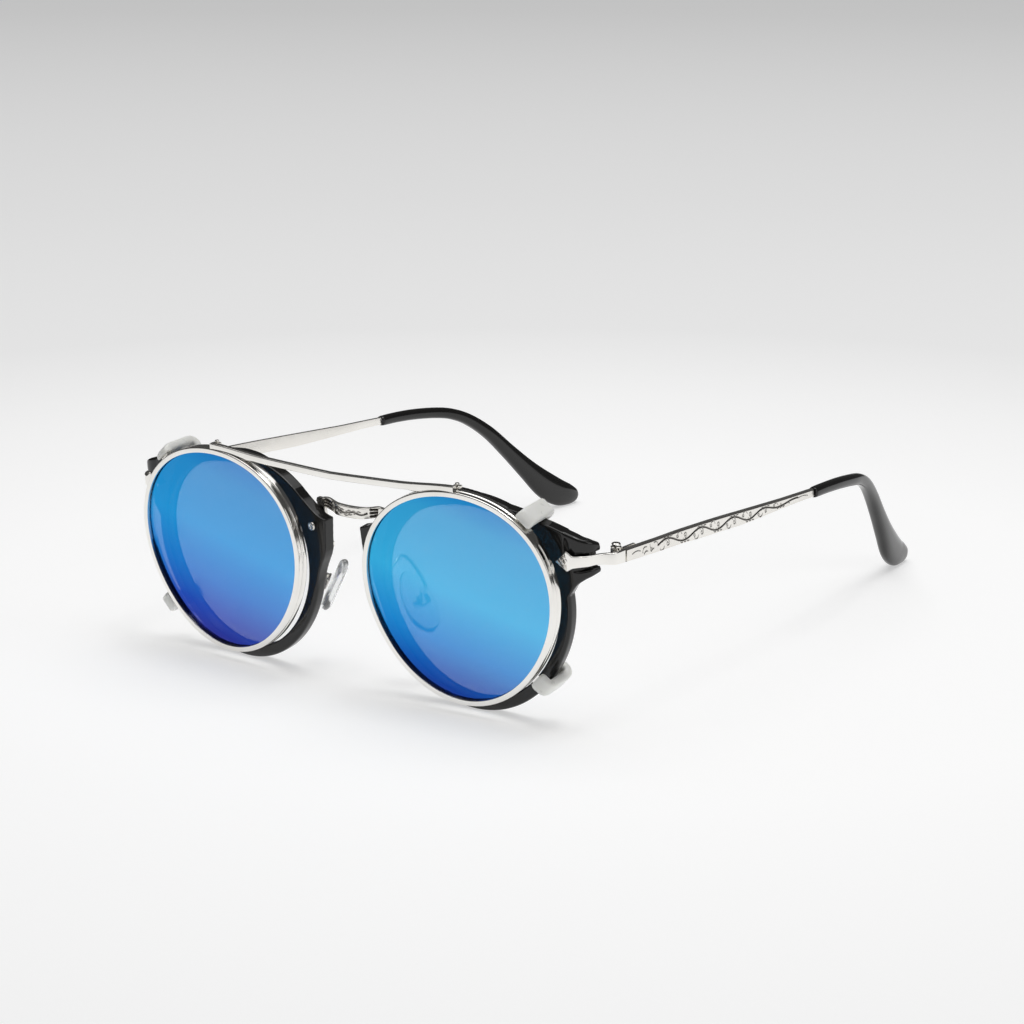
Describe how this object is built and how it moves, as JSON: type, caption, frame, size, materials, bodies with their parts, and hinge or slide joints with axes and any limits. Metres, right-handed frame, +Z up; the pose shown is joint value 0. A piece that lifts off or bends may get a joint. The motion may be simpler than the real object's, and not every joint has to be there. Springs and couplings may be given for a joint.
{
  "type": "eyeglasses with clip-on sunglasses",
  "caption": "Round acetate eyeglasses with engraved folding metal temples and a mirrored blue metal clip-on sun lens frame that hooks over the rims.",
  "frame": {"origin": "on the floor, at the middle of the bounding box seen from above", "axes": "+X to the wearer's left, +Y from the lenses back towards the ears, +Z up"},
  "size_m": [0.1288, 0.1718, 0.0514],
  "materials": {
    "black_acetate": "polished, near-mirror gloss",
    "polished_silver": "polished white metal",
    "engraved_silver": "satin with engraved scrolls",
    "blue_mirror_lens": "blue mirror coating",
    "clear_lens": "clear, polished",
    "clear_pad": "clear silicone, glossy",
    "milky_silicone": "translucent, softly glossy"
  },
  "bodies": {
    "front": {"bridge": "engraved_silver", "rim_left": "black_acetate", "rim_right": "black_acetate", "lens_left": "clear_lens", "lens_right": "clear_lens", "bridge_rivet_left": "polished_silver", "bridge_rivet_right": "polished_silver", "end_plate_left": "polished_silver", "end_plate_right": "polished_silver", "plate_rivet_left": "polished_silver", "plate_rivet_right": "polished_silver", "front_leaf_left": "polished_silver", "front_leaf_right": "polished_silver", "hinge_screw_left": "polished_silver", "hinge_screw_right": "polished_silver", "pad_arm_left": "polished_silver", "pad_arm_right": "polished_silver"},
    "temple_left": {"temple_leaf_left": "polished_silver", "temple_left": "engraved_silver", "temple_tip_left": "black_acetate"},
    "temple_right": {"temple_leaf_right": "polished_silver", "temple_right": "engraved_silver", "temple_tip_right": "black_acetate"},
    "nose_pad_left": {"nose_pad_left": "clear_pad", "pad_box_left": "polished_silver", "pad_screw_left": "polished_silver"},
    "nose_pad_right": {"nose_pad_right": "clear_pad", "pad_box_right": "polished_silver", "pad_screw_right": "polished_silver"},
    "clip_on": {"brow_bar": "polished_silver", "clip_rim_left": "polished_silver", "clip_rim_right": "polished_silver", "clip_lens_left": "blue_mirror_lens", "clip_lens_right": "blue_mirror_lens", "clip_block_left": "polished_silver", "clip_block_right": "polished_silver", "clip_screw_left": "polished_silver", "clip_screw_right": "polished_silver", "clip_hook_upper_left": "polished_silver", "clip_hook_upper_right": "polished_silver", "clip_hook_lower_left": "polished_silver", "clip_hook_lower_right": "polished_silver", "hook_sleeve_upper_left": "milky_silicone", "hook_sleeve_upper_right": "milky_silicone", "hook_sleeve_lower_left": "milky_silicone", "hook_sleeve_lower_right": "milky_silicone"}
  },
  "joints": [
    {"name": "temple_left_hinge", "type": "hinge", "parent": "front", "child": "temple_left", "pos_m": [0.0619, -0.06803, 0.0376], "axis": [0, 0, 1], "range_deg": [0, 88]},
    {"name": "temple_right_hinge", "type": "hinge", "parent": "front", "child": "temple_right", "pos_m": [-0.0619, -0.06803, 0.0376], "axis": [0, 0, -1], "range_deg": [0, 78]},
    {"name": "nose_pad_left_pivot", "type": "hinge", "parent": "front", "child": "nose_pad_left", "pos_m": [0.01396, -0.07047, 0.01993], "axis": [-0.433, -0.8381, -0.3319], "range_deg": [-8, 8]},
    {"name": "nose_pad_right_pivot", "type": "hinge", "parent": "front", "child": "nose_pad_right", "pos_m": [-0.01396, -0.07047, 0.01993], "axis": [-0.433, 0.8381, 0.3319], "range_deg": [-8, 8]},
    {"name": "clip_on_pull_off", "type": "slide", "parent": "front", "child": "clip_on", "axis": [0, -1, 0], "range_m": [0, 0.03], "deforming": ["clip_hook_upper_left", "clip_hook_upper_right", "clip_hook_lower_left", "clip_hook_lower_right", "hook_sleeve_upper_left", "hook_sleeve_upper_right", "hook_sleeve_lower_left", "hook_sleeve_lower_right"]}
  ]
}
